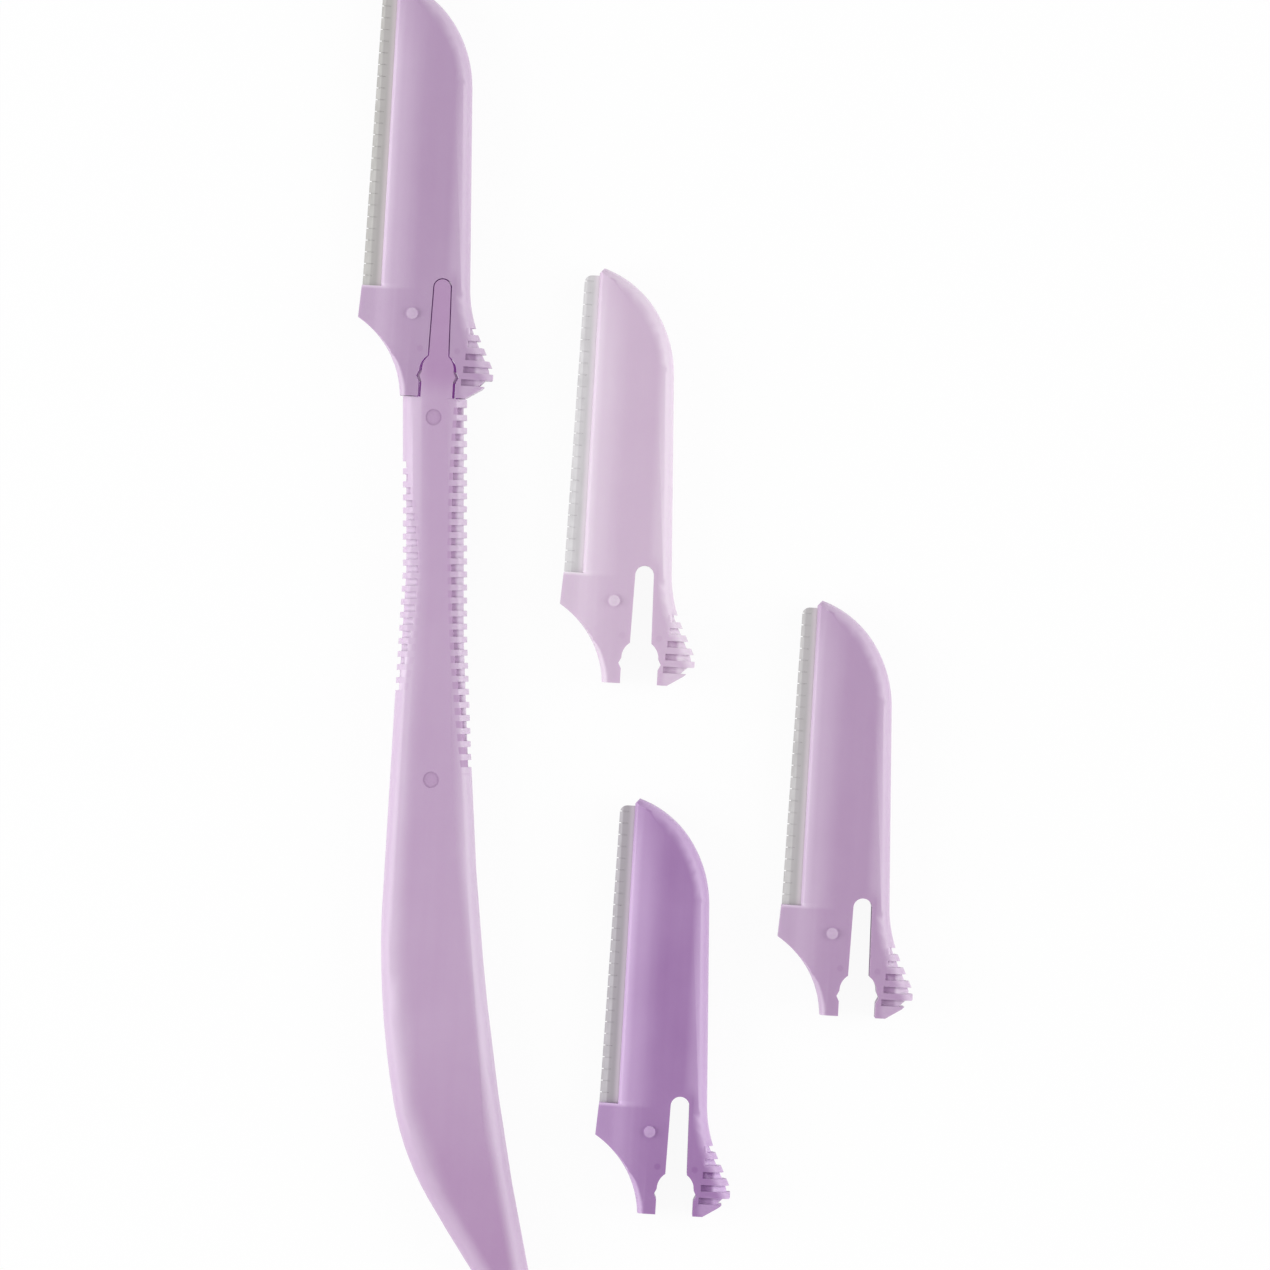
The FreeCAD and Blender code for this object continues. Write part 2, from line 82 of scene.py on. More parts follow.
class Signal:
    """One value, colour or vector in a shader, with arithmetic that adds nodes to its tree."""

    def __init__(self, tree: "ShaderTree", socket: bpy.types.NodeSocket) -> None:
        """Keeps the socket and the tree that it belongs to."""
        self.tree = tree
        self.socket = socket

    def _math(self, operation: str, *values: "Value") -> "Signal":
        """Adds one Math node on the given values."""
        return self.tree.node("ShaderNodeMath", {"operation": operation}, dict(enumerate(values)))

    def _vector(self, operation: str, other: Triple) -> "Signal":
        """Adds one Vector Math node on this vector and a fixed one."""
        return self.tree.node("ShaderNodeVectorMath", {"operation": operation}, {0: self, 1: other})

    def __add__(self, other: "Value") -> "Signal":
        """This value plus another."""
        return self._math("ADD", self, other)

    def __radd__(self, other: "Value") -> "Signal":
        """Another value plus this one."""
        return self._math("ADD", other, self)

    def __sub__(self, other: "Value") -> "Signal":
        """This value less another."""
        return self._math("SUBTRACT", self, other)

    def __rsub__(self, other: "Value") -> "Signal":
        """Another value less this one."""
        return self._math("SUBTRACT", other, self)

    def __mul__(self, other: "Value") -> "Signal":
        """This value times another."""
        return self._math("MULTIPLY", self, other)

    def __rmul__(self, other: "Value") -> "Signal":
        """Another value times this one."""
        return self._math("MULTIPLY", other, self)

    def __abs__(self) -> "Signal":
        """The value without its sign."""
        return self._math("ABSOLUTE", self)

    def larger(self, other: "Value") -> "Signal":
        """The larger of two values."""
        return self._math("MAXIMUM", self, other)

    def from_nearest(self, first: float, pitch: float) -> "Signal":
        """How far the value is from the nearest step of an even row.

        Args:
            first: One of the steps.
            pitch: The distance between two steps.

        Returns:
            The distance, from 0 to half the pitch.
        """
        return self._math("PINGPONG", self - first, pitch / 2)

    def ramp(self, low: float, high: float, smooth: bool = True) -> "Signal":
        """Step of the value.

        Args:
            low: The value where the step is still 0.
            high: The value where it has come to 1; it may be the smaller one.
            smooth: Whether its ends are eased.

        Returns:
            The step, from 0 to 1.
        """
        settings = {"interpolation_type": "SMOOTHSTEP" if smooth else "LINEAR"}
        inputs = {"Value": self, "From Min": low, "From Max": high}
        return self.tree.node("ShaderNodeMapRange", settings, inputs)

    def axis(self, name: str) -> "Signal":
        """One axis of a vector."""
        return self.tree.node("ShaderNodeSeparateXYZ", {}, {0: self}, name)

    def less(self, origin: Vector) -> "Signal":
        """A vector measured from an origin."""
        return self._vector("SUBTRACT", tuple(origin))

    def stretched(self, factors: Triple) -> "Signal":
        """A vector times a factor for each axis."""
        return self._vector("MULTIPLY", factors)

    def turned(self, centre: Vector, angle: float) -> "Signal":
        """A vector measured from a centre, in axes turned about Z by an angle."""
        inputs = {"Vector": self, "Center": tuple(centre), "Angle": -angle}
        return self.tree.node("ShaderNodeVectorRotate", {"rotation_type": "Z_AXIS"}, inputs).less(centre)

    def length(self) -> "Signal":
        """The length of a vector."""
        return self.tree.node("ShaderNodeVectorMath", {"operation": "LENGTH"}, {0: self}, "Value")


Value = Union[Signal, float]


class ShaderTree:
    """A node tree, emptied down to its output."""

    def __init__(self, owner: Union[bpy.types.Material, bpy.types.World], output: str) -> None:
        """Takes over the tree of a material or a world.

        Args:
            owner: The material or world.
            output: The type of its output node.
        """
        owner.use_nodes = True
        self.owner = owner
        self.nodes = owner.node_tree.nodes
        self.links = owner.node_tree.links
        self.nodes.clear()
        self.output = self.nodes.new(output)

    @classmethod
    def material(cls, name: str) -> "ShaderTree":
        """The tree of a new material."""
        return cls(bpy.data.materials.new(name), "ShaderNodeOutputMaterial")

    @classmethod
    def world(cls, name: str) -> "ShaderTree":
        """The tree of a new world."""
        return cls(bpy.data.worlds.new(name), "ShaderNodeOutputWorld")

    def node(self, kind: str, settings: dict, inputs: dict, output: Union[str, int] = 0) -> Signal:
        """Adds one node.

        Args:
            kind: The node's type.
            settings: Its own properties, set first.
            inputs: What its sockets get, values or signals, by name or number.
            output: The socket to hand back.

        Returns:
            The chosen output.
        """
        made = self.nodes.new(kind)
        for key, value in settings.items():
            setattr(made, key, value)
        for key, value in inputs.items():
            if isinstance(value, Signal):
                self.links.new(value.socket, made.inputs[key])
            else:
                made.inputs[key].default_value = value
        return Signal(self, made.outputs[output])

    def coordinate(self, kind: Coordinate) -> Signal:
        """A texture coordinate of the surface."""
        return self.node("ShaderNodeTexCoord", {}, {}, kind.value)

    def noise(self, place: Signal, size: float, detail: float = 2.0) -> Signal:
        """Cloudy value about 0.

        Args:
            place: The coordinates that it is laid by.
            size: How large its blots are, in metres.
            detail: How many finer layers it has.

        Returns:
            The noise, from -0.5 to 0.5.
        """
        inputs = {"Vector": place, "Scale": 1.0 / size, "Detail": detail}
        return self.node("ShaderNodeTexNoise", {}, inputs) - 0.5

    def mix(self, factor: Value, first: Union[Signal, Colour], second: Union[Signal, Colour]) -> Signal:
        """A colour between two.

        Args:
            factor: How far from the first to the second.
            first: The colour at 0.
            second: The colour at 1.

        Returns:
            The mixed colour.
        """
        ends = {6: first, 7: second}
        inputs = {key: end if isinstance(end, Signal) else (*end, 1.0) for key, end in ends.items()}
        return self.node("ShaderNodeMix", {"data_type": "RGBA"}, {0: factor, **inputs}, 2)

    def bump(self, height: Signal) -> Signal:
        """Normal that follows a relief, whose height is in metres."""
        return self.node("ShaderNodeBump", {}, {"Height": height, "Distance": 1.0})

    def seen(self) -> Signal:
        """Tells a look at the surroundings from their light.

        Returns:
            1 for the camera, a reflection or a look through something clear, and 0 for light.
        """
        names = ("Is Camera Ray", "Is Glossy Ray", "Is Transmission Ray")
        camera, glossy, clear = (self.node("ShaderNodeLightPath", {}, {}, name) for name in names)
        return camera.larger(glossy).larger(clear)

    def close(self, surface: Signal) -> Union[bpy.types.Material, bpy.types.World]:
        """Joins the last shader to the output and hands back the material or world."""
        self.links.new(surface.socket, self.output.inputs["Surface"])
        return self.owner


@dataclass(frozen=True)
class Disc:
    """A round spot on the upper face that is paler or deeper than what lies round it.

    Attributes:
        centre: Its middle, in plan.
        radius: Its radius.
        pale: How much paler the plastic is on it; below 0, deeper.
        dome: The height of a dome that is only in the relief.
        soft: How soft its rim is.
        lowest: The height from which up it shows.
        margin: How far past its edge its rim reaches, in widths of the soft rim.
    """

    centre: Vector
    radius: float
    pale: float
    dome: float = 0.0
    soft: float = 0.12 * MM
    lowest: float = 4.0 * MM
    margin: float = 3.0

    def _across(self, place: Signal) -> Signal:
        """Distance from the middle, in plan."""
        return place.less(self.centre).stretched(IN_PLAN).length()

    def mask(self, place: Signal) -> Signal:
        """1 on the spot and 0 elsewhere, with a soft rim."""
        level = place.axis("Z").ramp(self.lowest, self.lowest + self.soft)
        return self._across(place).ramp(self.radius + self.soft, self.radius - self.soft) * level

    def around(self, place: Signal) -> Signal:
        """1 on the spot and its rim, and 0 elsewhere."""
        return self._across(place).ramp(self.radius + self.margin * self.soft, self.radius + self.soft)

    def relief(self, place: Signal) -> Signal:
        """Height of the dome over the spot, in metres."""
        return self._across(place).ramp(self.radius, 0.0) * self.dome


@dataclass(frozen=True)
class Fade:
    """A slow change of tone along Y."""

    start: float
    end: float
    pale: float

    def tone(self, place: Signal) -> Signal:
        """How much paler the plastic is at a place."""
        return place.axis("Y").ramp(self.start, self.end) * self.pale


@dataclass(frozen=True)
class PaintedLight:
    """A broad, soft side of painted light, paler towards an edge on the left of its own axes.

    Attributes:
        seat: Where its axes start.
        turn: How far they are turned about Z.
        edge: The course of the edge, as places along Y with the edge's X at each.
        reach: How far in from the edge the painted light ends.
        pale: How much paler the painted light makes the plastic at the edge.
        full: How far in from the edge the light is full, and how softly it starts along Y.
        lowest: Where along Y it starts.
        highest: Where along Y it ends.
        hush: How much of the rim's painted sheen it takes the place of.
        fade: How far before its end along Y it starts to fall.
    """

    seat: Vector
    turn: float
    edge: tuple[Point, ...]
    reach: float
    pale: float
    full: float = 0.5 * MM
    lowest: float = -FAR
    highest: float = FAR
    hush: float = 1.0
    fade: float = 0.1 * MM

    def mask(self, place: Signal) -> Signal:
        """Where the light falls.

        Args:
            place: The coordinates that it is laid by.

        Returns:
            1 at the edge, falling to 0 at the slope's reach.
        """
        local = place.turned(self.seat, self.turn)
        along = local.axis("Y")
        inwards = local.axis("X") - self.edge[0][1]
        for (start, x), (end, next_x) in zip(self.edge, self.edge[1:]):
            inwards = inwards - along.ramp(start, end, smooth=False) * (next_x - x)
        beside = inwards.ramp(self.reach, self.full)
        above = along.ramp(self.lowest, self.lowest + self.full)
        return beside * above * along.ramp(self.highest, self.highest - self.fade)


@dataclass(frozen=True)
class GrooveRow:
    """A row of moulded grooves over an edge: painted shade at their inner ends, painted light from there out.

    The inner ends lie on a parabola: `inner` at `middle`, wandering outwards by `bow` times the distance
    squared.

    Attributes:
        seat: Where the row's axes start.
        turn: How far they are turned about Z.
        first: The middle of the first groove along Y.
        last: The middle of the last groove.
        pitch: The distance between two grooves.
        half_width: Half the width of a groove.
        side: The edge that the row lies over.
        inner: How far from the axis the inner ends are at `middle`.
        depth: How far out from its inner end a groove keeps the tone of that end.
        deep: How much paler than the body the inner ends are painted; below 0, painted shade.
        pale: How much painted light makes the rest of a groove paler than the body.
        middle: Where along Y the inner ends lie furthest in.
        bow: How fast they wander outwards, per metre.
        soft: How soft the sides of a groove are.
        blur: How softly the tone changes along a groove.
    """

    seat: Vector
    turn: float
    first: float
    last: float
    pitch: float
    half_width: float
    side: Side
    inner: float
    depth: float
    deep: float
    pale: float
    middle: float = 0.0
    bow: float = 0.0
    soft: float = 0.05 * MM
    blur: float = 0.5 * MM

    def masks(self, place: Signal) -> tuple[Signal, Signal]:
        """Where the grooves are.

        Args:
            place: The coordinates that they are laid by.

        Returns:
            1 at their inner ends, and 1 on the rest of them.
        """
        local = place.turned(self.seat, self.turn)
        along = local.axis("Y")
        from_middle = along - self.middle
        outwards = local.axis("X") * self.side.value - self.inner - from_middle * from_middle * self.bow
        groove = along.from_nearest(self.first, self.pitch).ramp(self.half_width, self.half_width - self.soft)
        low, high = sorted((self.first, self.last))
        below = along.ramp(low - self.pitch, low - self.half_width)
        above = along.ramp(high + self.pitch, high + self.half_width)
        groove = groove * below * above
        beyond = outwards.ramp(self.depth, self.depth + self.blur)
        return groove * outwards.ramp(-self.soft, self.soft) * (1.0 - beyond), groove * beyond


@dataclass(frozen=True)
class Seam:
    """The narrow gap round the tang: painted shade on its walls, and a painted glow for light through the
    plastic.

    Attributes:
        seat: The seat of the head, in the middle of the tang's foot.
        stem: Half the width of the gap's bounds along the stem.
        foot: Half their width at the foot.
        foot_top: Where along Y the foot has ended, and where it is still full.
        start: Where along Y the gap starts.
        crown: Where along Y it ends.
        low: The height at which its walls start.
        high: The height at which they end.
        soft: How soft its bounds are.
        shade: The painted shade on the walls.
        glow: The painted glow in the stem.
        foot_glow: The painted glow in the foot.
    """

    seat: Vector
    stem: float = 1.45 * MM
    foot: float = 2.42 * MM
    foot_top: Point = (5.8 * MM, 4.9 * MM)
    start: float = -0.02 * MM
    crown: float = 13.6 * MM
    low: float = 0.4 * MM
    high: float = 4.5 * MM
    soft: float = 0.15 * MM
    shade: Colour = (0.29, 0.15, 0.32)
    glow: Colour = (0.04, 0.01, 0.05)
    foot_glow: Colour = (0.1, 0.025, 0.125)

    def zone(self, place: Signal) -> Signal:
        """Where the gap is, seen in plan.

        Args:
            place: The coordinates that it is laid by.

        Returns:
            1 in and over the gap, and 0 elsewhere.
        """
        local = place.less(self.seat)
        along = local.axis("Y")
        beside = abs(local.axis("X")) - along.ramp(*self.foot_top) * (self.foot - self.stem)
        inside = along.ramp(self.start, 0.0) * along.ramp(self.crown + self.soft, self.crown)
        return beside.ramp(self.stem + self.soft, self.stem) * inside

    def depth(self, place: Signal) -> Signal:
        """Where the walls of the gap are.

        Args:
            place: The coordinates that it is laid by.

        Returns:
            1 on the walls, below the upper face, and 0 elsewhere.
        """
        height = place.axis("Z")
        deep = height.ramp(self.high, self.high - self.soft) * height.ramp(self.low, self.low + self.soft)
        return self.zone(place) * deep

    def light(self, tree: ShaderTree, place: Signal) -> Signal:
        """Colour of the painted glow, black away from the gap and strongest in its wide foot."""
        foot = place.less(self.seat).axis("Y").ramp(*self.foot_top)
        return tree.mix(self.depth(place), BLACK, tree.mix(foot, self.glow, self.foot_glow))


@dataclass(frozen=True)
class SatinPlastic:
    """Tinted, slightly milky moulded plastic with a satin skin and a painted sheen where it turns down at the
    edges.

    A tone is how far the colour goes from the deep one to the rim's.

    Attributes:
        name: The material's name.
        deep: The deepest colour.
        rim: The palest colour, which the painted sheen on the edges goes to.
        discs: Round spots of another tone.
        seam: The gap round the tang.
        lit: Whether the gap gets its painted shade and painted glow, as where a head sits on the tang.
        fades: Slow changes of tone along Y.
        slopes: Broad sides of painted light.
        rows: Rows of grooves.
    """

    name: str
    deep: Colour
    rim: Colour
    discs: tuple[Disc, ...]
    seam: Seam
    lit: bool = True
    fades: tuple[Fade, ...] = ()
    slopes: tuple[PaintedLight, ...] = ()
    rows: tuple[GrooveRow, ...] = ()
    body_tone: float = 0.25
    cloud_tone: float = 0.14
    streak_tone: float = 0.06
    # Painted sheen: a face is paler the more it turns down from the upper face.
    rim_sheen: float = 0.42
    rim_tilt: float = 0.6
    tilt_axes: Triple = (1.0, 0.4, 0.0)
    roughness: float = 0.42
    grain_roughness: float = 0.12
    cloud_roughness: float = 0.08
    cloud_size: float = 9.0 * MM
    cloud_detail: float = 3.0
    streak_size: float = 1.3 * MM
    streak_stretch: Triple = (1.0, 0.06, 1.0)
    grain_size: float = 0.11 * MM
    grain_detail: float = 1.0
    grain_depth: float = 0.006 * MM
    parting_height: float = 2.4 * MM
    parting_width: float = 0.07 * MM
    parting_rise: float = 0.02 * MM
    refraction: float = 1.49
    milkiness: float = 0.18
    glow_depth: float = 1.2 * MM
    glow_spread: Triple = (1.0, 0.75, 1.05)

    def material(self) -> bpy.types.Material:
        """Makes the plastic.

        Returns:
            Its material.
        """
        tree = ShaderTree.material(self.name)
        place = tree.coordinate(Coordinate.PLACE)
        cloud = tree.noise(place, self.cloud_size, self.cloud_detail)
        streak = tree.noise(place.stretched(self.streak_stretch), self.streak_size)
        grain = tree.noise(place, self.grain_size, self.grain_detail)
        colour = tree.mix(self._paleness(tree, place, cloud, streak), self.deep, self.rim)
        glow = {}
        if self.lit:
            # Painted shade on the walls of the gap round the tang, and a painted glow in it as emission.
            colour = tree.mix(self.seam.depth(place), colour, self.seam.shade)
            glow = {"Emission Color": self.seam.light(tree, place), "Emission Strength": 1.0}
        return tree.close(tree.node("ShaderNodeBsdfPrincipled", {}, {
            **glow,
            "Base Color": colour,
            "Roughness": self.roughness + grain * self.grain_roughness + cloud * self.cloud_roughness,
            "Normal": tree.bump(self._relief(place, grain)),
            "IOR": self.refraction,
            "Subsurface Weight": self.milkiness,
            "Subsurface Radius": self.glow_spread,
            "Subsurface Scale": self.glow_depth,
        }))

    def _relief(self, place: Signal, grain: Signal) -> Signal:
        """Height of the skin's grain, the parting line and the domes.

        Args:
            place: The coordinates that everything is laid by.
            grain: Fine noise.

        Returns:
            The height in metres.
        """
        parting = abs(place.axis("Z") - self.parting_height)
        relief = grain * self.grain_depth + parting.ramp(self.parting_width, 0.0) * self.parting_rise
        for disc in self.discs:
            if disc.dome:
                relief = relief + disc.relief(place)
        return relief

    def _paleness(self, tree: ShaderTree, place: Signal, cloud: Signal, streak: Signal) -> Signal:
        """How far the colour is from the deep tone to the rim's, with painted light and shade laid in.

        Args:
            tree: The material's tree.
            place: The coordinates that everything is laid by.
            cloud: Slow, cloudy noise.
            streak: Noise drawn out along Y.

        Returns:
            The paleness, from 0 to 1.
        """
        tone = self.body_tone + cloud * self.cloud_tone + streak * self.streak_tone
        # Where the painted sheen on the edges is held back.
        sheen_held_back = self.seam.zone(place)
        for disc in self.discs:
            tone = tone + disc.mask(place) * disc.pale
            if disc.pale < 0.0:
                sheen_held_back = sheen_held_back.larger(disc.around(place))
        for fade in self.fades:
            tone = tone + fade.tone(place)
        for slope in self.slopes:
            mask = slope.mask(place)
            tone = tone + mask * slope.pale
            sheen_held_back = sheen_held_back.larger(mask * slope.hush)
        for row in self.rows:
            ends, rest = row.masks(place)
            tone = tone + ends * row.deep + rest * row.pale
            sheen_held_back = sheen_held_back.larger(ends)
        # The painted sheen on faces that turn down, held back where another painted tone takes its place.
        tilt = tree.coordinate(Coordinate.NORMAL).stretched(self.tilt_axes).length()
        return tone + tilt.ramp(0.0, self.rim_tilt) * (1.0 - sheen_held_back) * self.rim_sheen


@dataclass(frozen=True)
class StripSteel:
    """Stainless strip with grinding marks and stains.

    Beside the wall of the holder it is darker in a band, and close to the wall it carries a painted
    reflection of the pink plastic.

    Attributes:
        name: The material's name.
        wall: The X of the holder's wall.
        roughness: How rough it is on the whole.
        grind: Which way it is ground.
        tint: A factor for each of its colours.
        banding: How far the band goes to the warm colour.
    """

    name: str
    wall: float
    roughness: float
    grind: Grind
    tint: Colour
    banding: float
    bright: Colour = (0.60, 0.59, 0.575)
    dull: Colour = (0.44, 0.43, 0.42)
    warm: Colour = (0.393, 0.374, 0.374)
    # A painted reflection of the holder's plastic close to its wall.
    wall_reflection: Colour = (0.572, 0.525, 0.541)
    middle_tone: float = 0.5
    mark_tone: float = 0.9
    stain_tone: float = 0.8
    mark_roughness: float = 0.25
    stain_roughness: float = 0.12
    mark_size: float = 0.06 * MM
    mark_depth: float = 0.003 * MM
    stain_size: float = 1.6 * MM
    stain_detail: float = 3.0
    band: float = 1.32 * MM
    reflection_reach: float = 0.75 * MM
    reflection_start: float = 0.15 * MM
    soft: float = 0.1 * MM

    def _tinted(self, colour: Colour) -> Colour:
        """A colour in this strip's tint."""
        return tuple(part * factor for part, factor in zip(colour, self.tint))

    def material(self) -> bpy.types.Material:
        """Makes the steel.

        Returns:
            Its material.
        """
        tree = ShaderTree.material(self.name)
        place = tree.coordinate(Coordinate.PLACE)
        bright, dull, warm, wall_reflection = map(self._tinted, (self.bright, self.dull, self.warm, self.wall_reflection))
        marks = tree.noise(place.stretched(self.grind.value), self.mark_size)
        stain = tree.noise(place, self.stain_size, self.stain_detail)
        steel = tree.mix(self.middle_tone + marks * self.mark_tone + stain * self.stain_tone, dull, bright)
        inside = place.axis("X") - self.wall
        banded = inside.ramp(-self.band - self.soft, -self.band + self.soft) * self.banding
        # Painted reflection of the holder's plastic close to its wall.
        reflecting = inside.ramp(-self.reflection_reach, -self.reflection_start)
        return tree.close(tree.node("ShaderNodeBsdfPrincipled", {}, {
            "Base Color": tree.mix(reflecting, tree.mix(banded, steel, warm), wall_reflection),
            "Metallic": 1.0,
            "Roughness": self.roughness + marks * self.mark_roughness + stain * self.stain_roughness,
            "Normal": tree.bump(marks * self.mark_depth),
        }))


@dataclass(frozen=True)
class Shading:
    """How a solid's stepped rounding is shaded smooth while its flats stay flat and its sharp edges crisp.

    Attributes:
        sharp_from: The angle in degrees from which an edge is crisp.
        flat_within: The angle in degrees up to which faces count as one flat.
        weld: How close two corners are to count as one.
        flat_weight: How strongly large faces draw the shading.
    """

    sharp_from: float = 50.0
    flat_within: float = 1.0
    weld: float = 0.002 * MM
    flat_weight: int = 80

    def apply(self, piece: bpy.types.Object) -> None:
        """Adds the modifiers that shade one piece.

        Args:
            piece: The solid's object.
        """
        weld = piece.modifiers.new("weld", "WELD")
        weld.merge_threshold = self.weld
        flats = piece.modifiers.new("flats", "DECIMATE")
        flats.decimate_type = "DISSOLVE"
        flats.angle_limit = math.radians(self.flat_within)
        edges = piece.modifiers.new("edges", "EDGE_SPLIT")
        edges.split_angle = math.radians(self.sharp_from)
        smooth = piece.modifiers.new("smooth", "WEIGHTED_NORMAL")
        smooth.weight = self.flat_weight
        for face in piece.data.polygons:
            face.use_smooth = True


def dress(name: str, material: bpy.types.Material) -> None:
    """Gives one solid its finish and its shading.

    Args:
        name: The solid's node.
        material: Its finish.
    """
    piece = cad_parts[name]
    piece.material_slots[0].material = material
    Shading().apply(piece)
    log.info("dressed %s", name)


@dataclass
class Handle:
    """The handle: one moulding, with its neck turned by the cant and its tang in line with the head.

    The detents fill the notches of the slot. The lips are thin sheets inside it, dark in the gap's painted
    shade, that keep light from coming up through the clearance round the tang's crown and shoulders.
    """

    finish: str = "handle_lilac"
    deep: Colour = (0.40, 0.232, 0.423)
    rim: Colour = (0.76, 0.66, 0.78)
    marks: tuple[Triple, ...] = ((-0.3 * MM, -2.2 * MM, 0.0), (-0.6 * MM, -42.9 * MM, 0.0))
    mark_radius: float = 0.9 * MM
    mark_tone: float = -0.08
    fades: tuple[Fade, ...] = (Fade(-0.5 * MM, 3.0 * MM, -0.2), Fade(-70.0 * MM, -95.0 * MM, -0.2))
    # A broad side of painted light along this edge of the handle.
    edge: tuple[Point, ...] = (
        (-20.0 * MM, -3.8 * MM), (-55.0 * MM, -6.05 * MM), (-62.0 * MM, -6.25 * MM), (-79.2 * MM, -4.85 * MM),
        (-90.0 * MM, -1.0 * MM), (-101.6 * MM, 5.0 * MM),
    )
    light_reach: float = 3.4 * MM
    light_tone: float = 0.3
    # The grip's grooves: painted shade at their inner ends and painted light on the rest.
    back_grip: GrooveRow = GrooveRow(
        seat=ORIGIN, turn=CANT, first=-1.5 * MM, last=-41.1 * MM, pitch=1.467 * MM, half_width=0.42 * MM,
        side=Side.BACK, inner=1.25 * MM, depth=0.7 * MM, deep=-0.1, pale=0.3, middle=-17.7 * MM, bow=2.63,
    )
    front_grip: GrooveRow = GrooveRow(
        seat=ORIGIN, turn=CANT, first=-7.5 * MM, last=-32.4 * MM, pitch=1.467 * MM, half_width=0.42 * MM,
        side=Side.FRONT, inner=1.6 * MM, depth=0.4 * MM, deep=-0.02, pale=0.2, middle=-20.0 * MM, bow=10.0,
    )
    detent_plan: tuple[Point, ...] = (
        (1.7 * MM, 1.63 * MM), (2.02 * MM, 1.73 * MM), (2.31 * MM, 2.35 * MM), (2.02 * MM, 2.97 * MM),
        (1.7 * MM, 3.07 * MM),
    )
    detent_rise: Point = (0.25 * MM, 4.55 * MM)
    detent_easing: float = 0.06 * MM
    easing_steps: int = 2
    # Thin sheets inside the slot round the tang's shoulders and crown, in the gap's painted shade.
    shoulder_plan: tuple[Point, ...] = (
        (1.0 * MM, 3.0 * MM), (2.03 * MM, 3.0 * MM), (2.05 * MM, 3.06 * MM), (1.98 * MM, 3.53 * MM),
        (1.81 * MM, 3.96 * MM), (1.54 * MM, 4.33 * MM), (1.18 * MM, 4.65 * MM), (1.0 * MM, 4.65 * MM),
    )
    crown_height: float = 12.37 * MM
    crown_radius: float = 1.02 * MM
    crown_steps: int = 16
    shade_sheet_rise: Point = (1.0 * MM, 1.4 * MM)

    def build(self) -> None:
        """Dresses the handle and adds its full detents and the thin sheets of painted shade in its slot."""
        plastic = self._plastic().material()
        dress("handle", plastic)
        # Sheets in the gap's painted shade, that hide the light coming up through the clearance.
        self._add("crown_shade_sheet", self._crown_plan(), self.shade_sheet_rise, plastic)
        for side in Side:
            name = side.name.lower()
            shade_sheet, detent = ([(side.value * x, y) for x, y in plan]
                           for plan in (self.shoulder_plan, self.detent_plan))
            self._add(f"{name}_lip", shade_sheet, self.shade_sheet_rise, plastic)
            self._add(f"detent_{name}", detent, self.detent_rise, plastic, self.detent_easing)

    def _plastic(self) -> SatinPlastic:
        """Lays out the finish.

        Returns:
            The plastic, with its pin marks, its side of painted light and the painted light and shade of its
            grip.
        """
        turn = Matrix.Rotation(CANT, 3, "Z")
        marks = tuple(Disc(turn @ Vector(mark), self.mark_radius, self.mark_tone) for mark in self.marks)
        light = PaintedLight(ORIGIN, CANT, self.edge, self.light_reach, self.light_tone)
        return SatinPlastic(self.finish, self.deep, self.rim, marks, Seam(ORIGIN), fades=self.fades,
                            slopes=(light,), rows=(self.back_grip, self.front_grip))

    def _crown_plan(self) -> list[Point]:
        """Half a disc round the tang's tip, as its corners.

        Returns:
            The corners, anticlockwise.
        """
        angles = [math.pi * step / self.crown_steps for step in range(self.crown_steps + 1)]
        return [(self.crown_radius * math.cos(angle), self.crown_height + self.crown_radius * math.sin(angle))
                for angle in angles]

    def _add(self, name: str, plan: list[Point], rise: Point, plastic: bpy.types.Material,
             easing: float = 0.0) -> None:
        """Adds an upright prism to the handle.

        Args:
            name: The piece's name.
            plan: Its corners in plan, either way round.
            rise: The heights of its two ends.
            plastic: The handle's finish.
            easing: How far its edges are eased.
        """
        count = len(plan)
        corners = [(x, y, z) for z in rise for x, y in plan]
        low = list(range(count))
        sides = [(a, b, b + count, a + count) for a, b in zip(low, low[1:] + low[:1])]
        faces = [low[::-1], [corner + count for corner in low], *sides]
        turning = sum(x * next_y - next_x * y for (x, y), (next_x, next_y) in zip(plan, plan[1:] + plan[:1]))
        if turning < 0.0:
            faces = [face[::-1] for face in faces]
        mesh = bpy.data.meshes.new(name)
        mesh.from_pydata(corners, [], faces)
        mesh.materials.append(plastic)
        piece = bpy.data.objects.new(name, mesh)
        bpy.context.scene.collection.objects.link(piece)
        if easing:
            ease = piece.modifiers.new("ease", "BEVEL")
            ease.width = easing
            ease.segments = self.easing_steps
        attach(piece, "handle")
        log.info("made %s", name)


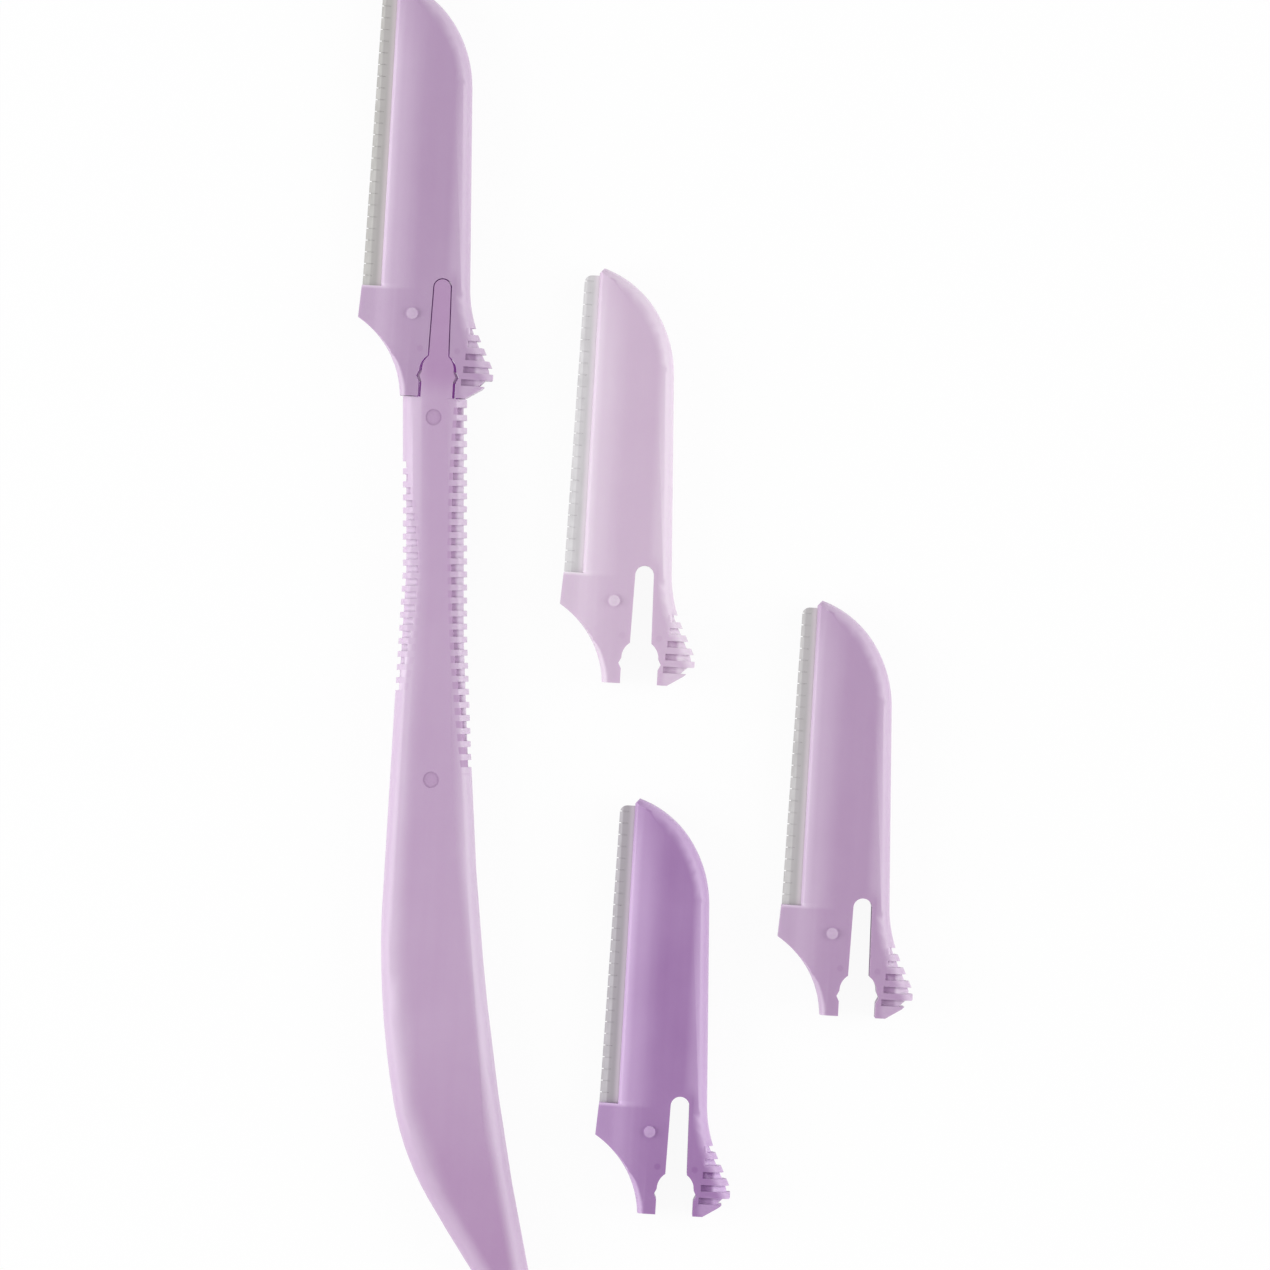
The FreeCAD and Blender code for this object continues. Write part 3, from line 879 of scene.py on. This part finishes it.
@dataclass
class Head:
    """A head: holder, blade and guard, laid out from its seat."""

    prefix: str
    finish: str
    deep: Colour
    rim: Colour
    seat: Vector = ORIGIN
    steel_tint: Colour = (1.0, 1.0, 1.0)
    banding: float = 0.75
    fitted: bool = False
    wall: float = -6.95 * MM
    blade_roughness: float = 0.3
    guard_roughness: float = 0.4
    # Painted highlight on the pip, beside its dome in the relief.
    pip: Vector = Vector((-3.25 * MM, 9.3 * MM, 0.0))
    pip_radius: float = 0.65 * MM
    pip_highlight: float = 0.3
    pip_dome: float = 0.12 * MM
    # Painted shade in the dimples beside the slot.
    dimples: tuple[Vector, ...] = (Vector((-2.15 * MM, 5.45 * MM, 0.0)), Vector((2.06 * MM, 5.32 * MM, 0.0)))
    dimple_radius: float = 0.35 * MM
    dimple_shade: float = -0.08
    # Painted highlight on the rounded end of the thumb tab.
    tab_end: Vector = Vector((4.0 * MM, 0.9 * MM, 0.0))
    tab_end_radius: float = 1.3 * MM
    tab_end_highlight: float = 0.2
    tab_end_soft: float = 0.4 * MM
    # Grooves between the tab's ribs: painted light in them, a little more at the upper ones' inner ends and
    # painted shade at the lower ones'.
    rib_first: float = 7.67 * MM
    rib_pitch: float = 1.45 * MM
    rib_half_width: float = 0.39 * MM
    rib_inner: float = 2.95 * MM
    rib_groove_light: float = 0.3
    upper_ribs: int = 2
    upper_end: float = 0.0
    upper_end_light: float = 0.1
    lower_ribs: int = 3
    lower_end: float = 1.0 * MM
    lower_end_shade: float = -0.1
    # Sides of painted light: broad beside the blade, on the heel, narrow at the wall's brink, and along the
    # back.
    light_start: float = 11.8 * MM
    light_end: float = 47.0 * MM
    light_fade: float = 10.0 * MM
    light_reach: float = 4.5 * MM
    light_tone: float = 0.27
    heel_edge: float = -9.2 * MM
    heel_full: float = 0.1 * MM
    heel_span: Point = (5.5 * MM, 12.6 * MM)
    heel_reach: float = 5.0 * MM
    heel_light: float = 0.2
    brink_full: float = 0.3 * MM
    brink_reach: float = 1.3 * MM
    brink_light: float = 0.2
    back_edge: float = 1.9 * MM
    back_full: float = 0.7 * MM
    back_start: float = 12.6 * MM
    back_fade: float = 2.5 * MM
    back_light: float = 0.16
    back_hush: float = 0.38

    def build(self) -> None:
        """Gives the three pieces of the head their finishes."""
        plastic = SatinPlastic(self.finish, self.deep, self.rim, self._discs(), Seam(self.seat), self.fitted,
                               slopes=self._slopes(), rows=self._ribs())
        dress(f"{self.prefix}_holder", plastic.material())
        strips = (("blade", self.blade_roughness, Grind.ACROSS), ("guard", self.guard_roughness, Grind.ALONG))
        for part, roughness, grind in strips:
            steel = StripSteel(f"{self.prefix}_{part}_steel", self.seat.x + self.wall, roughness, grind,
                               self.steel_tint, self.banding)
            dress(f"{self.prefix}_{part}", steel.material())

    def _discs(self) -> tuple[Disc, ...]:
        """Lays out the round spots.

        Returns:
            The pip and the end of the thumb tab, with painted highlights, and the dimples beside the slot,
            with painted shade.
        """
        pip = Disc(self.seat + self.pip, self.pip_radius, self.pip_highlight, dome=self.pip_dome)
        tab_end = Disc(self.seat + self.tab_end, self.tab_end_radius, self.tab_end_highlight,
                       soft=self.tab_end_soft, lowest=0.0)
        dimples = (Disc(self.seat + spot, self.dimple_radius, self.dimple_shade) for spot in self.dimples)
        return pip, tab_end, *dimples

    def _slopes(self) -> tuple[PaintedLight, ...]:
        """Lays out the sides of painted light.

        Returns:
            The broad painted light beside the blade, the heel's, the narrow one at the wall's brink and the
            back's.
        """
        wall = ((0.0, self.wall),)
        heel_start, heel_end = self.heel_span
        return (
            PaintedLight(self.seat, 0.0, wall, self.light_reach, self.light_tone,
                  lowest=self.light_start, highest=self.light_end, fade=self.light_fade),
            PaintedLight(self.seat, 0.0, ((0.0, self.heel_edge),), self.heel_reach, self.heel_light,
                  full=self.heel_full, lowest=heel_start, highest=heel_end),
            PaintedLight(self.seat, 0.0, wall, self.brink_reach, self.brink_light,
                  full=self.brink_full, lowest=self.light_start),
            PaintedLight(self.seat, math.pi, ((0.0, -self.back_edge),), self.back_edge, self.back_light,
                  full=self.back_full, highest=-self.back_start, hush=self.back_hush, fade=self.back_fade),
        )

    def _ribs(self) -> tuple[GrooveRow, GrooveRow]:
        """Lays out the grooves between the thumb tab's ribs.

        Returns:
            The upper ones, with painted light throughout, and the lower ones with painted shade at their
            inner ends.
        """
        shared = {"seat": self.seat, "turn": 0.0, "pitch": self.rib_pitch, "half_width": self.rib_half_width,
                  "side": Side.BACK, "inner": self.rib_inner, "pale": self.rib_groove_light}
        lower_first = self.rib_first - self.upper_ribs * self.rib_pitch
        upper = GrooveRow(first=self.rib_first, last=lower_first + self.rib_pitch, depth=self.upper_end,
                          deep=self.upper_end_light, **shared)
        lower = GrooveRow(first=lower_first, last=lower_first - (self.lower_ribs - 1) * self.rib_pitch,
                          depth=self.lower_end, deep=self.lower_end_shade, **shared)
        return upper, lower


@dataclass
class Studio:
    """White sweep, two low soft boxes at the sides and a camera that looks straight down."""

    centre: Vector = Vector((23.81 * MM, -25.32 * MM, 2.4 * MM))
    view_width: float = 142.9 * MM
    camera_height: float = 1.0
    sensor: float = 36.0
    floor_size: float = 3.0
    floor_drop: float = 0.05 * MM
    floor_colour: tuple[float, ...] = (0.9, 0.9, 0.9, 1.0)
    floor_glow: float = 0.93
    sky_strength: float = 0.66
    box_size: Point = (0.5, 0.7)
    box_distance: float = 0.65
    box_height: float = 0.19
    left_power: float = 3.9
    right_power: float = 3.2

    def build(self) -> None:
        """Sets up the floor, the light and the camera."""
        self._floor()
        self._sky()
        across = Vector((math.cos(CANT), math.sin(CANT), 0.0))
        self._soft_box("left_box", -across, self.left_power)
        self._soft_box("right_box", across, self.right_power)
        self._camera()
        bpy.context.scene.view_settings.view_transform = "Standard"
        log.info("set up the studio")

    def _floor(self) -> None:
        """White floor that keeps a faint shadow."""
        half = self.floor_size / 2
        corners = [(x * half, y * half, -self.floor_drop) for x, y in ((-1, -1), (1, -1), (1, 1), (-1, 1))]
        mesh = bpy.data.meshes.new("floor")
        mesh.from_pydata(corners, [], [(0, 1, 2, 3)])
        floor = bpy.data.objects.new("floor", mesh)
        bpy.context.scene.collection.objects.link(floor)
        tree = ShaderTree.material("floor_white")
        matt = tree.node("ShaderNodeBsdfDiffuse", {}, {"Color": self.floor_colour})
        glow = tree.node("ShaderNodeEmission", {}, {"Color": WHITE, "Strength": 1.0})
        both = tree.node("ShaderNodeMixShader", {}, {0: tree.seen() * self.floor_glow, 1: matt, 2: glow})
        mesh.materials.append(tree.close(both))

    def _sky(self) -> None:
        """White surroundings, dimmer as a lamp than as a background."""
        tree = ShaderTree.world("studio_white")
        strength = self.sky_strength + tree.seen() * (1.0 - self.sky_strength)
        inputs = {"Color": WHITE, "Strength": strength}
        bpy.context.scene.world = tree.close(tree.node("ShaderNodeBackground", {}, inputs))

    def _soft_box(self, name: str, side: Vector, power: float) -> None:
        """One soft box beside the set.

        Args:
            name: The lamp's name.
            side: The level direction in which it stands.
            power: Its power in watts.
        """
        lamp = bpy.data.lights.new(name, "AREA")
        lamp.shape = "RECTANGLE"
        lamp.size, lamp.size_y = self.box_size
        lamp.energy = power
        box = bpy.data.objects.new(name, lamp)
        box.location = self.centre + side * self.box_distance + Vector((0.0, 0.0, self.box_height))
        box.rotation_euler = (self.centre - box.location).to_track_quat("-Z", "Y").to_euler()
        bpy.context.scene.collection.objects.link(box)

    def _camera(self) -> None:
        """Camera straight above the middle of the picture."""
        lens = bpy.data.cameras.new("camera")
        lens.sensor_width = self.sensor
        lens.lens = self.sensor * self.camera_height / self.view_width
        camera = bpy.data.objects.new("camera", lens)
        camera.location = self.centre + Vector((0.0, 0.0, self.camera_height))
        camera.rotation_euler = (0.0, 0.0, CANT)
        bpy.context.scene.collection.objects.link(camera)
        bpy.context.scene.camera = camera


def main() -> None:
    """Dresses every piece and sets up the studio."""
    logging.basicConfig(level=logging.INFO, format="%(name)s: %(message)s")
    Handle().build()
    heads = (
        Head("fitted", "fitted_lilac", deep=(0.332, 0.187, 0.36), rim=(0.71, 0.59, 0.73), fitted=True),
        Head("spare1", "pale_lilac", deep=(0.493, 0.333, 0.5), rim=(0.82, 0.73, 0.82),
             seat=Vector((24.5, -30.9, 0.0)) * MM, steel_tint=(1.266, 1.266, 1.326), banding=0.55),
        Head("spare2", "mid_lilac", deep=(0.327, 0.175, 0.355), rim=(0.71, 0.59, 0.73),
             seat=Vector((51.1, -66.8, 0.0)) * MM, steel_tint=(1.07, 1.065, 1.1)),
        Head("spare3", "violet", deep=(0.198, 0.057, 0.254), rim=(0.72, 0.54, 0.79),
             seat=Vector((31.9, -90.2, 0.0)) * MM, steel_tint=(0.97, 0.94, 1.025), banding=1.0),
    )
    for head in heads:
        head.build()
    Studio().build()


if __name__ == "__main__":
    main()
